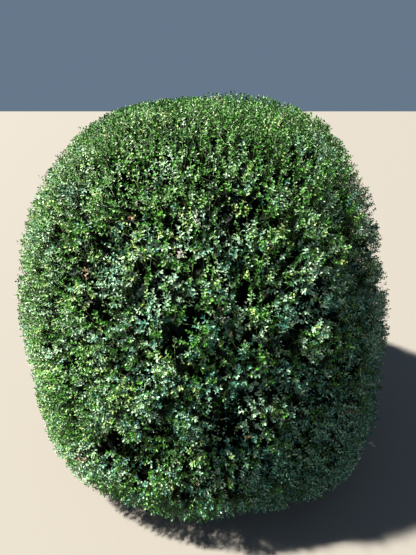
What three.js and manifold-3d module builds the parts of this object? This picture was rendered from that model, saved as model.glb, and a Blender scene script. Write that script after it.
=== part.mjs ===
// A clipped box ball, rooted in the ground: one short stem with a root flare, a leader and eight boughs that
// rise from its fork, and a dome of foliage that the shears have shaped, as nine masses, one on each bough.
// Millimetres, +Z up. The origin is the middle of the flat cut at ground level. A bearing turns about the
// upright axis, with 0 at the front (-Y) and 90 at the right (+X). A polar angle opens from straight up.
import * as THREE from "three";
import { mergeVertices } from "three/addons/utils/BufferGeometryUtils.js";
import Module from "manifold-3d";

const wasm = await Module();
wasm.setup();

const crown = {
  height: 1575,
  halfWidth: 860,
  widestAt: 370,
  footHalfWidth: 640,
  footHeight: 16,
  topSquareness: 2.63,
  footSquareness: 2.8,
  leanPerHeight: -0.033,
};

// The masses fan out round the hub, a point on the axis: eight side masses, and one that caps them. The clefts
// between them are shallow furrows that waver, by so many degrees and cycles, and so does the cap's rim.
const hubHeight = 520;
const sectors = ["front", "front_right", "right", "back_right", "back", "back_left", "left", "front_left"];
const sectorAngle = 360 / sectors.length;
const firstCleft = 8;
const cleft = { depth: 14, halfAngle: 5, waver: 6, cycles: 1.7, phaseStep: 2.1 };
const cap = { polar: 33, waver: 4, cycles: 3 };

// Places where the surface stands proud (rise above 0) or the foliage has died back (rise below 0).
const swellings = [
  { bearing: 55, height: 190, spread: 260, rise: 10 }, // skirt low on the right
  { bearing: 38, height: 170, spread: 220, rise: 38 }, // its fullest part, nearer the front
  { bearing: -5, height: 120, spread: 250, rise: 19 }, // foot at the front
  { bearing: -42, height: 200, spread: 220, rise: 30 }, // skirt low on the left
  { bearing: -58, height: 330, spread: 240, rise: -19 }, // skirt cut in above it
  { bearing: 62, height: 1240, spread: 260, rise: -30 }, // flat right shoulder
  { bearing: 85, height: 1420, spread: 220, rise: 41 }, // full top above it
  { bearing: -70, height: 1320, spread: 280, rise: -20 }, // left shoulder, clipped closer
];
const hollows = [
  { bearing: -17.5, height: 450, spread: 54, rise: -85 }, // wide hollow low on the front
  { bearing: -23, height: 440, spread: 50, rise: -70 }, // its left end
  { bearing: 5, height: 585, spread: 66, rise: -95 }, // cleft at the front
  { bearing: -7, height: 270, spread: 45, rise: -80 }, // gap over the foot
  { bearing: -32, height: 1120, spread: 52, rise: -80 }, // pit on the left
  { bearing: 11, height: 1270, spread: 50, rise: -70 }, // pit under the crown
];

const core = { inset: 106, innerShare: 0.68, seam: 3, acrossCells: 6, upCells: 10, capCells: 8, ruffle: 78 };
const stem = {
  height: 200,
  topRadius: 56,
  footRadius: 66,
  flare: 42,
  flarePower: 4,
  lobes: 5,
  lobeDepth: 0.1,
  forkHeight: 140,
  sides: 15,
  levels: 5,
};
const stub = { length: 128, rise: 58, rootShare: 0.15, swell: 1.12 };
const bough = { rootRadius: 25, tipRadius: 14, radiusWave: 0.14, radiusStep: 2.4, bend: 0.5, sides: 7, rings: 5 };
const leader = { rootRadius: 30, tipRadius: 16, stubLength: 40, tipX: 12, tipY: -8 };
const boughTip = { share: 0.56, polar: 84, polarWave: 5, polarStep: 1.7 };
const neck = { length: 170, tipRadius: 9 };
const jointGap = 0.3;

const spray = { length: 104, rootRadius: 10, tipRadius: 7, upwardTurn: 0.35, wander: 0.5 };
const leaf = { length: 124, width: 72, thickness: 3, rootOff: 0.8, tilt: 50 };
const leafPairsAt = [0.66, 0.9];
const sprayPlaces = { perSide: 11, onCap: 19, edgeShare: 0.09, lowestShare: 0.97, drift: 0.5 };
const footSprays = { across: [0.18, 0.5, 0.82], down: 0.992 };
const groundClearance = 6;
const outlineTolerance = 6;
const spaceMargin = 2;
const seed = 1907;

const up = new THREE.Vector3(0, 0, 1);
const hub = new THREE.Vector3(0, 0, hubHeight);
const radians = THREE.MathUtils.degToRad;
const degrees = THREE.MathUtils.radToDeg;
const seamAngle = degrees(core.seam / crown.halfWidth);

// A small seeded generator, so that every build grows the same plant.
function seededRandom(start) {
  let state = start >>> 0;
  return () => {
    state = (state + 0x6d2b79f5) >>> 0;
    let mixed = Math.imul(state ^ (state >>> 15), 1 | state);
    mixed = (mixed + Math.imul(mixed ^ (mixed >>> 7), 61 | mixed)) ^ mixed;
    return ((mixed ^ (mixed >>> 14)) >>> 0) / 4294967296;
  };
}

// The unit vector at a bearing and a polar angle, both in degrees.
function direction(bearing, polar) {
  const sine = Math.sin(radians(polar));
  return new THREE.Vector3(
    Math.sin(radians(bearing)) * sine,
    -Math.cos(radians(bearing)) * sine,
    Math.cos(radians(polar)),
  );
}

function bearingOf(point) {
  return degrees(Math.atan2(point.x, -point.y));
}

function polarOf(point) {
  return degrees(Math.acos((point.z - hubHeight) / point.distanceTo(hub)));
}

function turnBetween(bearing, other) {
  return THREE.MathUtils.euclideanModulo(bearing - other + 180, 360) - 180;
}

// The outline that the shears follow: a squared dome above the widest height, and a foot that tucks in below.
function outlineRadius(height) {
  if (height > crown.widestAt) {
    const rise = Math.min((height - crown.widestAt) / (crown.height - crown.widestAt), 1);
    return crown.halfWidth * (1 - rise ** crown.topSquareness) ** (1 / crown.topSquareness);
  }
  const drop = (crown.widestAt - height) / crown.widestAt;
  return crown.halfWidth - (crown.halfWidth - crown.footHalfWidth) * drop ** crown.footSquareness;
}

// How far the plain outline lies from the hub along a polar angle, found by halving.
function outlineReach(polar) {
  const sine = Math.sin(radians(polar));
  const cosine = Math.cos(radians(polar));
  const halvings = 30;
  let near = 0;
  let far = cosine < 0 ? Math.min((crown.footHeight - hubHeight) / cosine, crown.height) : crown.height;
  for (let step = 0; step < halvings; step += 1) {
    const middle = (near + far) / 2;
    const height = hubHeight + middle * cosine;
    const inside = height < crown.height && middle * sine < outlineRadius(height);
    if (inside) near = middle;
    else far = middle;
  }
  return near;
}

const footPolar = 90 + degrees(Math.atan2(hubHeight - crown.footHeight, crown.footHalfWidth));

// What one swelling or hollow adds at a point of the surface: a bell curve of its distance.
function bell(place, bearing, height) {
  const around = radians(turnBetween(bearing, place.bearing)) * outlineRadius(place.height);
  const distance = Math.hypot(around, height - place.height);
  return place.rise * Math.exp(-((distance / place.spread) ** 2));
}

// The cap's rim at a bearing, and how far a point is on the way down from the rim to the foot, from 0 to 1.
function rimPolar(bearing) {
  return cap.polar + cap.waver * Math.cos(radians(bearing * cap.cycles));
}

function shareDown(bearing, polar) {
  const rim = rimPolar(bearing);
  return (polar - rim) / (footPolar - rim);
}

// The bearing of a numbered cleft at a share of the way down.
function cleftBearing(number, share) {
  const phase = cleft.phaseStep * THREE.MathUtils.euclideanModulo(number, sectors.length);
  const waver = cleft.waver * Math.sin(2 * Math.PI * cleft.cycles * share + phase);
  return firstCleft + sectorAngle * number + waver;
}

function cleftDepth(bearing, polar) {
  const share = shareDown(bearing, polar);
  const turns = sectors.map((_, number) => Math.abs(turnBetween(bearing, cleftBearing(number, share))));
  const fade = THREE.MathUtils.smoothstep(share, -0.2, 0.05);
  return cleft.depth * fade * Math.exp(-((Math.min(...turns) / cleft.halfAngle) ** 2));
}

// The distance from the hub to the clipped surface, with its swellings and furrows.
function crownReach(bearing, polar) {
  const plain = outlineReach(polar);
  const height = hubHeight + plain * Math.cos(radians(polar));
  const proud = swellings.reduce((sum, place) => sum + bell(place, bearing, height), 0);
  return plain + proud - cleftDepth(bearing, polar);
}

function hollowDepth(bearing, polar) {
  const height = hubHeight + outlineReach(polar) * Math.cos(radians(polar));
  return -hollows.reduce((sum, place) => sum + bell(place, bearing, height), 0);
}

function solidFrom(geometry) {
  geometry.deleteAttribute("normal");
  geometry.deleteAttribute("uv");
  const merged = mergeVertices(geometry, 1e-3);
  return new wasm.Manifold(
    new wasm.Mesh({
      numProp: 3,
      vertProperties: merged.attributes.position.array,
      triVerts: new Uint32Array(merged.index.array),
    }),
  );
}

// The largest body of a joined solid: loose scraps and sealed hollows are dropped.
function mainBody(solid) {
  return solid.decompose().sort((a, b) => b.volume() - a.volume())[0];
}

function geometryFrom(solid) {
  const mesh = solid.getMesh();
  const geometry = new THREE.BufferGeometry();
  geometry.setAttribute("position", new THREE.BufferAttribute(new Float32Array(mesh.vertProperties), 3));
  geometry.setIndex(new THREE.BufferAttribute(new Uint32Array(mesh.triVerts), 1));
  return geometry;
}

function mapPoints(geometry, place) {
  const position = geometry.attributes.position;
  const point = new THREE.Vector3();
  for (let index = 0; index < position.count; index += 1) {
    point.fromBufferAttribute(position, index);
    place(point);
    position.setXYZ(index, point.x, point.y, point.z);
  }
  return geometry;
}

// A limb of round section that tapers along a curve, with flat ends square to it.
function limbGeometry(curve, rootRadius, tipRadius, sides, rings) {
  const frames = curve.computeFrenetFrames(rings);
  const tube = new THREE.CylinderGeometry(tipRadius, rootRadius, rings, sides, rings);
  return mapPoints(tube, (point) => {
    const ring = Math.round(point.y + rings / 2);
    const middle = curve.getPointAt(ring / rings);
    const across = frames.normals[ring].clone().multiplyScalar(point.z);
    const along = frames.binormals[ring].clone().multiplyScalar(point.x);
    point.copy(middle).add(across).add(along);
  });
}

function straight(from, heading, length) {
  return new THREE.LineCurve3(from, from.clone().addScaledVector(heading, length));
}

// The stem's radius at a height: an even taper, and a root flare that grows with a power of the depth.
function stemRadius(height) {
  const depth = 1 - height / stem.height;
  return THREE.MathUtils.lerp(stem.topRadius, stem.footRadius, depth) + stem.flare * depth ** stem.flarePower;
}

// The stem: a turned trunk whose flare swells into low lobes, with a stub for each bough and the leader.
function stemSolid(starts) {
  const profile = Array.from({ length: stem.levels + 1 }, (_, level) => {
    const height = (stem.height * level) / stem.levels;
    return new THREE.Vector2(stemRadius(height), height);
  });
  const closed = [new THREE.Vector2(0, 0), ...profile, new THREE.Vector2(0, stem.height)];
  const turned = new THREE.LatheGeometry(closed, stem.sides);
  const trunk = mapPoints(turned, (point) => {
    const lobeFade = 1 - point.y / stem.height;
    const swell = 1 + stem.lobeDepth * lobeFade * Math.cos(stem.lobes * Math.atan2(point.z, point.x));
    point.set(point.x * swell, -point.z * swell, point.y);
  });
  const fork = new THREE.Vector3(0, 0, stem.forkHeight);
  const stubs = starts.map(({ start, heading, radius }) => {
    const root = fork.clone().lerp(start, stub.rootShare);
    const line = straight(root, heading, start.distanceTo(root));
    return solidFrom(limbGeometry(line, radius * stub.swell, radius, bough.sides, 1));
  });
  return mainBody(stubs.reduce((sum, piece) => sum.add(piece), solidFrom(trunk)));
}

// Where each bough leaves its stub, with its heading and radius.
function boughStart(bearing, radius) {
  const heading = direction(bearing, 90 - stub.rise);
  const fork = new THREE.Vector3(0, 0, stem.forkHeight);
  return { start: fork.addScaledVector(heading, stub.length), heading, radius };
}

// A bough's line from 0.3 mm clear of its stub to its tip inside the crown.
function boughCurve({ start, heading }, tip) {
  const root = start.clone().addScaledVector(heading, jointGap);
  const control = root.clone().addScaledVector(heading, root.distanceTo(tip) * bough.bend);
  return new THREE.QuadraticBezierCurve3(root, control, tip);
}

// The neck is the foliage's own stem. It starts 0.3 mm past the bough's tip and ends inside the core.
function neckSolid(curve, radius) {
  const heading = curve.getTangentAt(1);
  const root = curve.getPointAt(1).addScaledVector(heading, jointGap);
  return solidFrom(limbGeometry(straight(root, heading, neck.length), radius, neck.tipRadius, bough.sides, 1));
}

// Ruffles the core's skin, the same at the same place, so that it reads as packed twigs and not as a shell.
function ruffleAt(bearing, polar) {
  const wave = Math.sin(Math.round(bearing * 10) * 12.9898 + Math.round(polar * 10) * 78.233) * 43758.5453;
  return (wave - Math.floor(wave) - 0.5) * core.ruffle;
}

function coreDistance(bearing, polar, skinShare) {
  const reach = crownReach(bearing, polar);
  const inner = reach * core.innerShare;
  const outer = reach - core.inset - hollowDepth(bearing, polar) + ruffleAt(bearing, polar);
  return inner + (outer - inner) * skinShare;
}

// A side core: a box whose width becomes bearing, whose height becomes polar angle and whose depth reach.
function sideCore(number) {
  const box = new THREE.BoxGeometry(1, 1, 1, core.acrossCells, core.upCells, 1);
  return mapPoints(box, (point) => {
    const share = 0.5 - point.y;
    const left = cleftBearing(number - 1, share) + seamAngle;
    const right = cleftBearing(number, share) - seamAngle;
    const bearing = THREE.MathUtils.lerp(left, right, point.x + 0.5);
    const polar = THREE.MathUtils.lerp(rimPolar(bearing) + seamAngle, footPolar - seamAngle, share);
    const distance = coreDistance(bearing, polar, point.z + 0.5);
    point.copy(direction(bearing, polar)).multiplyScalar(distance).add(hub);
  });
}

// The cap's core: a box whose square layers are rounded into the disc over the hub.
function capCore() {
  const box = new THREE.BoxGeometry(2, 2, 1, core.capCells, core.capCells, 1);
  return mapPoints(box, (point) => {
    const bearing = bearingOf(point);
    const polar = Math.max(Math.abs(point.x), Math.abs(point.y)) * (rimPolar(bearing) - seamAngle);
    const distance = coreDistance(bearing, polar, point.z + 0.5);
    point.copy(direction(bearing, polar)).multiplyScalar(distance).add(hub);
  });
}

// True where a point keeps to its mass's own space, inside the outline and above the ground.
function keepsTo(space, point) {
  const away = point.distanceTo(hub);
  const margin = degrees(spaceMargin / away);
  const polar = polarOf(point);
  const bearing = bearingOf(point);
  if (point.z < groundClearance || polar > footPolar) return false;
  if (away > crownReach(bearing, polar) + outlineTolerance) return false;
  if (space.isCap) return polar < rimPolar(bearing) - margin;
  const share = shareDown(bearing, polar);
  const sideMargin = margin / Math.sin(radians(polar));
  const pastLeft = turnBetween(bearing, cleftBearing(space.number - 1, share));
  const beforeRight = turnBetween(cleftBearing(space.number, share), bearing);
  return polar > rimPolar(bearing) + margin && pastLeft > sideMargin && beforeRight > sideMargin;
}

function keepsInside(space, geometry) {
  const position = geometry.attributes.position;
  const point = new THREE.Vector3();
  for (let index = 0; index < position.count; index += 1) {
    if (!keepsTo(space, point.fromBufferAttribute(position, index))) return false;
  }
  return true;
}

// One leaf: a flat eight-faced blade whose root lies just off the middle line of its twig.
function leafGeometry(root, heading, flatTo) {
  const blade = new THREE.OctahedronGeometry(1, 0);
  const side = new THREE.Vector3().crossVectors(heading, flatTo).normalize();
  const face = new THREE.Vector3().crossVectors(side, heading).normalize();
  const frame = new THREE.Matrix4().makeBasis(side, heading, face);
  blade.scale(leaf.width / 2, leaf.length / 2, leaf.thickness / 2);
  blade.translate(0, leaf.length / 2 + leaf.rootOff, 0);
  return blade.applyMatrix4(frame.setPosition(root));
}

// A spray: a three-sided twig, leaves in crossed opposite pairs along it, and one leaf at its tip that ends on
// the clipped surface. The sprays turn upward, and less so towards the foot.
function spraySolids(space, bearing, polar, random) {
  const outward = direction(bearing, polar);
  const wander = new THREE.Vector3(random() - 0.5, random() - 0.5, random() - 0.5);
  const upward = spray.upwardTurn * random() * (1 - polar / footPolar);
  const heading = outward.clone().addScaledVector(up, upward).addScaledVector(wander, spray.wander).normalize();
  const end = hub.clone().addScaledVector(outward, crownReach(bearing, polar) - hollowDepth(bearing, polar));
  const tip = end.clone().addScaledVector(heading, spray.tipRadius - leaf.length - leaf.rootOff);
  const root = tip.clone().addScaledVector(heading, -spray.length);
  const twig = limbGeometry(straight(root, heading, spray.length), spray.rootRadius, spray.tipRadius, 3, 1);
  if (!keepsInside(space, twig)) return [];
  const crosswise = new THREE.Vector3().crossVectors(heading, up).normalize();
  crosswise.applyAxisAngle(heading, random() * Math.PI);
  const pieces = [solidFrom(twig)];
  leafPairsAt.forEach((share, pair) => {
    const foot = root.clone().addScaledVector(heading, spray.length * share);
    [0, Math.PI].forEach((turn) => {
      const aside = crosswise.clone().applyAxisAngle(heading, turn + (pair * Math.PI) / 2);
      const spread = heading.clone().multiplyScalar(Math.cos(radians(leaf.tilt)));
      spread.addScaledVector(aside, Math.sin(radians(leaf.tilt)));
      const blade = leafGeometry(foot, spread, heading);
      if (keepsInside(space, blade)) pieces.push(solidFrom(blade));
    });
  });
  const topBlade = leafGeometry(tip.clone().addScaledVector(heading, -spray.tipRadius), heading, crosswise);
  if (keepsInside(space, topBlade)) pieces.push(solidFrom(topBlade));
  return pieces;
}

// Spreads the sprays over a side mass by golden-ratio steps across and even steps down, with a seeded drift.
// The last ones stand along the foot.
function sideSprayPlaces(number, random) {
  const goldenStep = 0.618034;
  const inner = 1 - 2 * sprayPlaces.edgeShare;
  const shares = Array.from({ length: sprayPlaces.perSide }, (_, index) => {
    const across = (index * goldenStep) % 1;
    const down = (index + 0.5 + sprayPlaces.drift * (random() - 0.5)) / sprayPlaces.perSide;
    return [sprayPlaces.edgeShare + inner * across, down * sprayPlaces.lowestShare];
  });
  footSprays.across.forEach((across) => shares.push([across, footSprays.down]));
  return shares.map(([across, down]) => {
    const bearing = THREE.MathUtils.lerp(cleftBearing(number - 1, down), cleftBearing(number, down), across);
    return [bearing, THREE.MathUtils.lerp(rimPolar(bearing), footPolar, down)];
  });
}

// Spreads the sprays over the cap like the seeds of a flower head, as far as its rim.
function capSprayPlaces(random) {
  const goldenAngle = 137.508;
  return Array.from({ length: sprayPlaces.onCap }, (_, index) => {
    const bearing = index * goldenAngle;
    const share = (index + sprayPlaces.drift * random()) / sprayPlaces.onCap;
    return [bearing, Math.sqrt(share) * rimPolar(bearing)];
  });
}

function massSolid(space, coreGeometry, places, neckPiece, random) {
  const sprays = places.flatMap(([bearing, polar]) => spraySolids(space, bearing, polar, random));
  const joined = sprays.reduce((sum, piece) => sum.add(piece), solidFrom(coreGeometry).add(neckPiece));
  return mainBody(joined);
}

const bark = new THREE.MeshStandardMaterial({ color: "#8a7a63", roughness: 0.9, metalness: 0 });
const foliage = new THREE.MeshStandardMaterial({ color: "#3f5c34", roughness: 0.55, metalness: 0 });

// The whole plant leans a little to its left as it rises. The cut at ground level stays where it is.
const lean = new THREE.Matrix4().makeShear(0, 0, 0, 0, crown.leanPerHeight, 0);

function namedMesh(name, geometry, material) {
  geometry.applyMatrix4(lean);
  geometry.computeVertexNormals();
  const mesh = new THREE.Mesh(geometry, material);
  mesh.name = name;
  return mesh;
}

function buildPlant() {
  const plant = new THREE.Group();
  const random = seededRandom(seed);
  const starts = [];

  sectors.forEach((side, index) => {
    const bearing = firstCleft + sectorAngle * (index - 0.5);
    const radius = bough.rootRadius * (1 + bough.radiusWave * Math.cos(bough.radiusStep * index));
    const begin = boughStart(bearing, radius);
    const polar = boughTip.polar + boughTip.polarWave * Math.sin(boughTip.polarStep * index);
    const tip = hub.clone().addScaledVector(direction(bearing, polar), crownReach(bearing, polar) * boughTip.share);
    const curve = boughCurve(begin, tip);
    const limb = limbGeometry(curve, radius, bough.tipRadius, bough.sides, bough.rings);
    const space = { isCap: false, number: index };
    const places = sideSprayPlaces(index, random);
    const solid = massSolid(space, sideCore(index), places, neckSolid(curve, bough.tipRadius), random);
    starts.push(begin);
    plant.add(namedMesh(`bough_${side}`, limb, bark));
    plant.add(namedMesh(`foliage_${side}`, geometryFrom(solid), foliage));
  });

  const leaderStart = new THREE.Vector3(0, 0, stem.height + leader.stubLength);
  const leaderBegin = { start: leaderStart, heading: up, radius: leader.rootRadius };
  const leaderTop = hubHeight + crownReach(0, 0) * boughTip.share;
  const leaderTip = new THREE.Vector3(leader.tipX, leader.tipY, leaderTop);
  const leaderCurve = boughCurve(leaderBegin, leaderTip);
  const leaderLimb = limbGeometry(leaderCurve, leader.rootRadius, leader.tipRadius, bough.sides, bough.rings);
  const capPlaces = capSprayPlaces(random);
  const capNeck = neckSolid(leaderCurve, leader.tipRadius);
  const capSolid = massSolid({ isCap: true }, capCore(), capPlaces, capNeck, random);
  starts.push(leaderBegin);
  plant.add(namedMesh("leader", leaderLimb, bark));
  plant.add(namedMesh("foliage_top", geometryFrom(capSolid), foliage));
  plant.add(namedMesh("main_stem", geometryFrom(stemSolid(starts)), bark));
  return plant;
}

const boxBall = buildPlant();
boxBall.name = "clipped_box_ball";

export default boxBall;
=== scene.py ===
# A clipped box ball: barked limbs, twigs and sprays of small leaves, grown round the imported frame.
# Metres, +Z up, with the photographed side towards -Y. A bearing turns about the upright axis, 0 at the
# front and 90 at the right, and a polar angle opens from straight up at the hub, a point on the axis inside
# the crown. Angles are in degrees, and the phases of waves in radians.
import bpy
import numpy as np
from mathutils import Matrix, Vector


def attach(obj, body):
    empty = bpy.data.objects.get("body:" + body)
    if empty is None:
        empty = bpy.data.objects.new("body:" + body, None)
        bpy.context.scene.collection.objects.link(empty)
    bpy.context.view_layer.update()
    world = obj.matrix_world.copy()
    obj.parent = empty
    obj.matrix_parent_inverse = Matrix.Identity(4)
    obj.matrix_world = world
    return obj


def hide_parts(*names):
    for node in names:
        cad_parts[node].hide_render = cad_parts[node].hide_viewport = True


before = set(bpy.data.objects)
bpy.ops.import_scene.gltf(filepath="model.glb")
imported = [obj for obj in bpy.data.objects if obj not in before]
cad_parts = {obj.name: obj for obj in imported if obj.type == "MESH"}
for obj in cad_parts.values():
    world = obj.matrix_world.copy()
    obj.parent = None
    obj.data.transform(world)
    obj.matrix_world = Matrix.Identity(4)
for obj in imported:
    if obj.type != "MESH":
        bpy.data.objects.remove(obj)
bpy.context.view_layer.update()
random = np.random.default_rng(1907)

# camera

camera = {
    "place": (-0.006, -1.88, 1.60),  # metres
    "lookDown": 23.9,  # degrees below level
    "lens": 27.05,  # mm
    "filmWidth": 36,  # mm along the long side
}


def makeCamera(settings):
    data = bpy.data.cameras.new("camera")
    data.lens = settings["lens"]
    data.sensor_width = settings["filmWidth"]
    thing = bpy.data.objects.new("camera", data)
    thing.location = settings["place"]
    thing.rotation_euler = (np.radians(90 - settings["lookDown"]), 0, 0)
    bpy.context.scene.collection.objects.link(thing)
    bpy.context.scene.camera = thing


makeCamera(camera)

# the clipped shape, by the same rule as the solids

crown = {
    "height": 1.575,
    "halfWidth": 0.860,
    "widestAt": 0.370,
    "footHalfWidth": 0.640,
    "footHeight": 0.016,
    "topSquareness": 2.63,
    "footSquareness": 2.8,
    "leanPerHeight": -0.033,
    "hubHeight": 0.520,
    "firstCleft": 8,  # bearing of the first cleft between two side masses
    "cleftDepth": 0.014,
    "cleftHalfAngle": 5,
    "cleftWaver": 6,
    "cleftCycles": 1.7,
    "cleftPhaseStep": 2.1,
    "cleftFrom": -0.2,  # share of the way from the rim of the cap to the foot at which a cleft starts
    "cleftFade": 0.25,  # and over which it reaches its full depth
    "capPolar": 33,  # polar angle of the rim of the top mass
    "capWaver": 4,
    "capCycles": 3,
}
sectors = ["front", "front_right", "right", "back_right", "back", "back_left", "left", "front_left"]
sectorAngle = 360 / len(sectors)
massCount = len(sectors) + 1  # the top mass comes last
hub = np.array([0, 0, crown["hubHeight"]])
up = np.array([0.0, 0, 1])

# bearing, height, spread and rise of each place that stands proud or is cut in
swellings = [
    (55, 0.190, 0.260, 0.010),  # skirt low on the right
    (38, 0.170, 0.220, 0.038),  # its fullest part, nearer the front
    (-5, 0.120, 0.250, 0.019),  # foot at the front
    (-42, 0.200, 0.220, 0.030),  # skirt low on the left
    (-58, 0.330, 0.240, -0.019),  # skirt cut in above it
    (62, 1.240, 0.260, -0.030),  # flat right shoulder
    (85, 1.420, 0.220, 0.041),  # full top above it
    (-70, 1.320, 0.280, -0.020),  # left shoulder, clipped closer
]
# the same for the places where the foliage has died back
hollows = [
    (-17.5, 0.450, 0.054, -0.085),  # wide hollow low on the front
    (-23, 0.440, 0.050, -0.070),  # its left end
    (5, 0.585, 0.066, -0.095),  # cleft at the front
    (-7, 0.270, 0.045, -0.080),  # gap over the foot
    (-32, 1.120, 0.052, -0.080),  # pit on the left
    (11, 1.270, 0.050, -0.070),  # pit under the crown
]


def unit(vectors):
    # each vector over its own length
    return vectors / np.maximum(np.linalg.norm(vectors, axis=-1, keepdims=True), 1e-9)


def direction(bearing, polar):
    # (sin b sin p, -cos b sin p, cos p)
    b, p = np.radians(bearing), np.radians(polar)
    return np.stack([np.sin(b) * np.sin(p), -np.cos(b) * np.sin(p), np.cos(p) + 0 * b], -1)


def anglesOf(points):
    # the bearing, polar angle and distance of points seen from the hub
    away = points - hub
    distance = np.maximum(np.linalg.norm(away, axis=-1), 1e-6)
    bearing = np.degrees(np.arctan2(away[..., 0], -away[..., 1]))
    return bearing, np.degrees(np.arccos(away[..., 2] / distance)), distance


def turnBetween(bearing, other):
    # from -180 to 180 degrees
    return (bearing - other + 180) % 360 - 180


def outlineRadius(height):
    # above the widest height w: W (1 - ((h - w) / (H - w))^s)^(1/s)
    # and below it: W - (W - F) ((w - h) / w)^f
    rise = np.clip((height - crown["widestAt"]) / (crown["height"] - crown["widestAt"]), 0, 1)
    dome = crown["halfWidth"] * (1 - rise ** crown["topSquareness"]) ** (1 / crown["topSquareness"])
    drop = np.clip((crown["widestAt"] - height) / crown["widestAt"], 0, 1)
    narrowing = crown["halfWidth"] - crown["footHalfWidth"]
    skirt = crown["halfWidth"] - narrowing * drop ** crown["footSquareness"]
    return np.where(height > crown["widestAt"], dome, skirt)


reachSearch = {"polars": 700, "halvings": 30}
footPolar = 90 + np.degrees(np.arctan2(crown["hubHeight"] - crown["footHeight"], crown["footHalfWidth"]))
tablePolars = np.linspace(0, footPolar, reachSearch["polars"])


def makeReachTable():
    # the distance from the hub at which the outline is crossed, found by halving, for each polar angle
    sine, cosine = np.sin(np.radians(tablePolars)), np.cos(np.radians(tablePolars))
    floorReach = (crown["footHeight"] - crown["hubHeight"]) / np.minimum(cosine, -1e-9)
    near = np.zeros_like(tablePolars)
    far = np.where(cosine < 0, np.minimum(floorReach, crown["height"]), crown["height"])
    for _ in range(reachSearch["halvings"]):
        middle = (near + far) / 2
        height = crown["hubHeight"] + middle * cosine
        inside = (height < crown["height"]) & (middle * sine < outlineRadius(height))
        near = np.where(inside, middle, near)
        far = np.where(inside, far, middle)
    return near


reachTable = makeReachTable()
tableRadius = reachTable * np.sin(np.radians(tablePolars))
tableHeight = reachTable * np.cos(np.radians(tablePolars))
# the area of the turned outline from the top down to each polar angle: the sum of 2 pi r ds
tableStep = np.hypot(np.diff(tableRadius), np.diff(tableHeight))
tableArea = np.concatenate([[0], np.cumsum(np.pi * (tableRadius[1:] + tableRadius[:-1]) * tableStep)])
# the polar angle in which the outline itself faces
tableFacing = np.degrees(np.arctan2(-np.gradient(tableHeight), np.gradient(tableRadius)))


def bells(places, bearing, height):
    # sum of rise * exp(-(distance / spread)^2), with the distance measured over the surface
    total = 0
    for placeBearing, placeHeight, spread, rise in places:
        around = np.radians(turnBetween(bearing, placeBearing)) * outlineRadius(placeHeight)
        total = total + rise * np.exp(-(around ** 2 + (height - placeHeight) ** 2) / spread ** 2)
    return total


def rimPolar(bearing):
    # cap + waver * cos(cycles * bearing)
    return crown["capPolar"] + crown["capWaver"] * np.cos(np.radians(bearing * crown["capCycles"]))


def cleftBearing(number, share):
    # the cleft's own bearing, plus waver * sin(turns * share + its phase)
    phase = crown["cleftPhaseStep"] * (number % len(sectors))
    waver = crown["cleftWaver"] * np.sin(2 * np.pi * crown["cleftCycles"] * share + phase)
    return crown["firstCleft"] + sectorAngle * number + waver


def crownReach(bearing, polar):
    # the outline, plus swellings, less a shallow furrow along each cleft
    plain = np.interp(polar, tablePolars, reachTable)
    height = crown["hubHeight"] + plain * np.cos(np.radians(polar))
    share = (polar - rimPolar(bearing)) / (footPolar - rimPolar(bearing))
    turns = [np.abs(turnBetween(bearing, cleftBearing(n, share))) for n in range(len(sectors))]
    turn = np.min(turns, axis=0)
    fade = np.clip((share - crown["cleftFrom"]) / crown["cleftFade"], 0, 1)
    furrow = crown["cleftDepth"] * fade * fade * (3 - 2 * fade)
    furrow = furrow * np.exp(-(turn / crown["cleftHalfAngle"]) ** 2)
    return plain + bells(swellings, bearing, height) - furrow


def hollowDepth(bearing, polar):
    # how far the hollows cut in at that place of the outline
    plain = np.interp(polar, tablePolars, reachTable)
    return -bells(hollows, bearing, crown["hubHeight"] + plain * np.cos(np.radians(polar)))


latticeSize = 32
lattice = random.random((latticeSize, latticeSize, latticeSize))


def smoothNoise(points, cell):
    # 0 to 1: seeded values at the corners of each cell, blended by t * t * (3 - 2 t)
    scaled = points / cell
    low = np.floor(scaled).astype(int)
    t = scaled - low
    t = t * t * (3 - 2 * t)
    total = 0
    for corner in np.ndindex(2, 2, 2):
        x, y, z = np.moveaxis((low + corner) % latticeSize, -1, 0)
        weight = np.prod(np.where(np.array(corner) == 1, t, 1 - t), axis=-1)
        total = total + weight * lattice[x, y, z]
    return total


# materials


def linear(hexColour):
    # sRGB to linear: c / 12.92 up to 0.04045, then ((c + 0.055) / 1.055)^2.4
    channels = np.array([int(hexColour[i:i + 2], 16) for i in (1, 3, 5)]) / 255
    return (*np.where(channels <= 0.04045, channels / 12.92, ((channels + 0.055) / 1.055) ** 2.4), 1.0)


def addNode(tree, kind, settings, links=()):
    # settings go to the socket of that name or number, or else to the node's own property
    node = tree.nodes.new(kind)
    for name, value in settings.items():
        if isinstance(name, int) or name in node.inputs:
            node.inputs[name].default_value = value
        else:
            setattr(node, name, value)
    for name, output in dict(links).items():
        tree.links.new(output, node.inputs[name])
    return node


def newMaterial(name):
    material = bpy.data.materials.new(name)
    material.use_nodes = True
    material.node_tree.nodes.clear()
    return material, material.node_tree


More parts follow.
